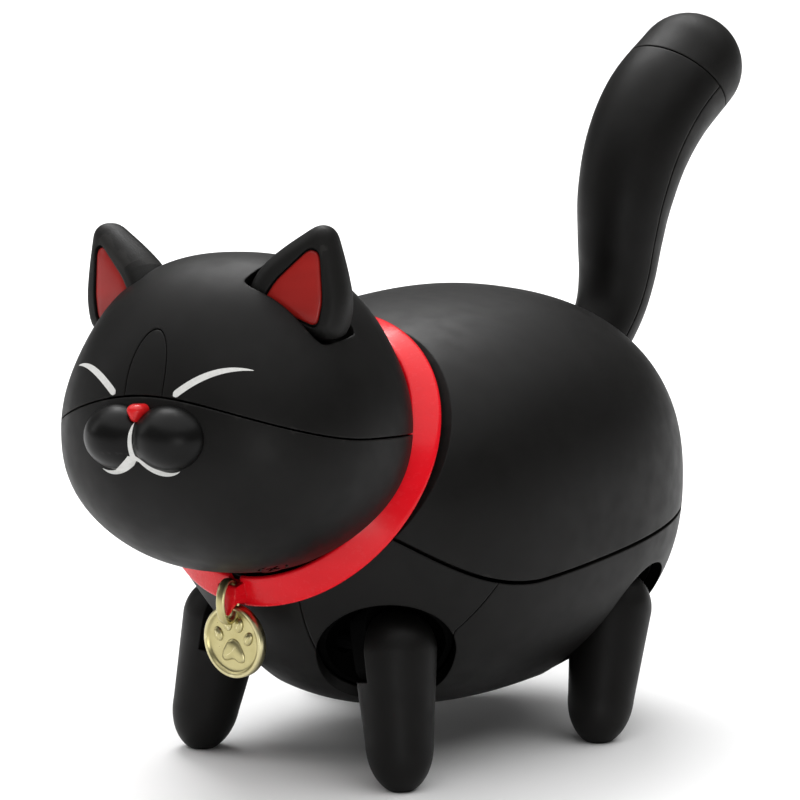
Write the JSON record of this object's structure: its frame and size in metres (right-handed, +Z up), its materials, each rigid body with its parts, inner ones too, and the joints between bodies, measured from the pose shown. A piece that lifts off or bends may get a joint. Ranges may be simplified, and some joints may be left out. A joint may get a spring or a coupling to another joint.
{
  "type": "jointed cat figurine",
  "caption": "Small jointed cat figurine in matte black plastic with a raised tail, red collar, red inner ears and a hanging paw medal.",
  "frame": {"origin": "on the ground under the middle of the figurine's length and width", "axes": "+Z up, the cat faces -Y, its left side is +X"},
  "size_m": [0.0654, 0.1492, 0.1043],
  "materials": {
    "black_plastic": "matte black moulded plastic with a fine grain",
    "frame_plastic": "dark grey moulded plastic",
    "red_gloss": "glossy red plastic",
    "red_satin": "satin dark red plastic",
    "gold": "satin pale gold",
    "screw_steel": "plain steel"
  },
  "bodies": {
    "body": {"back_shell": "black_plastic", "belly_shell": "black_plastic", "shoulder_panel_left": "black_plastic", "shoulder_panel_right": "black_plastic", "chest_plate": "black_plastic", "inner_frame": "frame_plastic", "neck_plate": "frame_plastic", "collar": "red_gloss", "leg_well_front_left": "frame_plastic", "leg_well_front_right": "frame_plastic", "leg_well_rear_left": "frame_plastic", "leg_well_rear_right": "frame_plastic", "hip_stud_front_left": "frame_plastic", "hip_stud_front_right": "frame_plastic", "hip_stud_rear_left": "frame_plastic", "hip_stud_rear_right": "frame_plastic", "belly_screw_front": "screw_steel", "belly_screw_rear": "screw_steel", "tail_pin": "screw_steel"},
    "neck": {"neck_stem": "frame_plastic"},
    "neck_cup": {"neck_ball_cup": "frame_plastic"},
    "head": {"head_upper_shell": "black_plastic", "forehead_panel": "black_plastic", "head_lower_shell": "black_plastic", "muzzle": "black_plastic", "nose": "red_gloss", "head_frame": "frame_plastic", "jaw_screw_left": "screw_steel", "jaw_screw_right": "screw_steel", "ear_pin_left": "screw_steel", "ear_pin_right": "screw_steel"},
    "ear_left": {"ear_left": "black_plastic", "inner_ear_left": "red_satin"},
    "ear_right": {"ear_right": "black_plastic", "inner_ear_right": "red_satin"},
    "tail_base": {"tail_knuckle": "frame_plastic"},
    "tail": {"tail_front_shell": "black_plastic", "tail_rear_shell": "black_plastic", "tail_tip": "black_plastic"},
    "medal": {"paw_medal": "gold"},
    "hip_front_left": {"hip_knuckle_front_left": "frame_plastic"},
    "leg_front_left": {"leg_front_left": "black_plastic"},
    "hip_front_right": {"hip_knuckle_front_right": "frame_plastic"},
    "leg_front_right": {"leg_front_right": "black_plastic"},
    "hip_rear_left": {"hip_knuckle_rear_left": "frame_plastic"},
    "leg_rear_left": {"leg_rear_left": "black_plastic"},
    "hip_rear_right": {"hip_knuckle_rear_right": "frame_plastic"},
    "leg_rear_right": {"leg_rear_right": "black_plastic"}
  },
  "joints": [
    {"name": "neck_nod", "type": "hinge", "parent": "body", "child": "neck", "pos_m": [0, -0.02156, 0.03972], "axis": [1, 0, 0], "range_deg": [-2.5, 1]},
    {"name": "head_tilt", "type": "hinge", "parent": "neck", "child": "neck_cup", "pos_m": [0, -0.03709, 0.05067], "axis": [0, 0.5764, 0.8171], "range_deg": [-2.5, 2.5]},
    {"name": "head_turn", "type": "hinge", "parent": "neck_cup", "child": "head", "pos_m": [0, -0.03709, 0.05067], "axis": [0, -0.8171, 0.5764], "range_deg": [-18, 18]},
    {"name": "ear_fold_left", "type": "hinge", "parent": "head", "child": "ear_left", "pos_m": [0.01413, -0.05098, 0.07404], "axis": [0.8989, 0.2853, -0.3325], "range_deg": [-6, 16]},
    {"name": "ear_fold_right", "type": "hinge", "parent": "head", "child": "ear_right", "pos_m": [-0.01615, -0.0531, 0.07138], "axis": [0.8584, -0.1624, 0.4867], "range_deg": [-6, 16]},
    {"name": "tail_lift", "type": "hinge", "parent": "body", "child": "tail_base", "pos_m": [0, 0.0346, 0.0468], "axis": [1, 0, 0], "range_deg": [-40, 10]},
    {"name": "tail_twist", "type": "hinge", "parent": "tail_base", "child": "tail", "pos_m": [0, 0.0346, 0.0468], "axis": [0, 0.6897, 0.7241], "range_deg": [-40, 40]},
    {"name": "medal_swing", "type": "hinge", "parent": "body", "child": "medal", "pos_m": [0, -0.0497, 0.0318], "axis": [1, 0, 0], "range_deg": [-5, 4]},
    {"name": "hip_spread_front_left", "type": "hinge", "parent": "body", "child": "hip_front_left", "pos_m": [0.0166, -0.03114, 0.0204], "axis": [0, -1, 0], "range_deg": [-6, 18]},
    {"name": "leg_swing_front_left", "type": "hinge", "parent": "hip_front_left", "child": "leg_front_left", "pos_m": [0.0166, -0.03114, 0.0204], "axis": [0.9869, 0, 0.1616], "range_deg": [-60, 18]},
    {"name": "hip_spread_front_right", "type": "hinge", "parent": "body", "child": "hip_front_right", "pos_m": [-0.0166, -0.03114, 0.0204], "axis": [0, 1, 0], "range_deg": [-6, 18]},
    {"name": "leg_swing_front_right", "type": "hinge", "parent": "hip_front_right", "child": "leg_front_right", "pos_m": [-0.0166, -0.03114, 0.0204], "axis": [0.9869, 0, -0.1616], "range_deg": [-60, 18]},
    {"name": "hip_spread_rear_left", "type": "hinge", "parent": "body", "child": "hip_rear_left", "pos_m": [0.024, 0.013, 0.0196], "axis": [0, -1, 0], "range_deg": [-6, 18]},
    {"name": "leg_swing_rear_left", "type": "hinge", "parent": "hip_rear_left", "child": "leg_rear_left", "pos_m": [0.024, 0.013, 0.0196], "axis": [0.9925, 0, 0.1219], "range_deg": [-8, 50]},
    {"name": "hip_spread_rear_right", "type": "hinge", "parent": "body", "child": "hip_rear_right", "pos_m": [-0.024, 0.013, 0.0196], "axis": [0, 1, 0], "range_deg": [-6, 18]},
    {"name": "leg_swing_rear_right", "type": "hinge", "parent": "hip_rear_right", "child": "leg_rear_right", "pos_m": [-0.024, 0.013, 0.0196], "axis": [0.9925, 0, -0.1219], "range_deg": [-8, 50]}
  ]
}
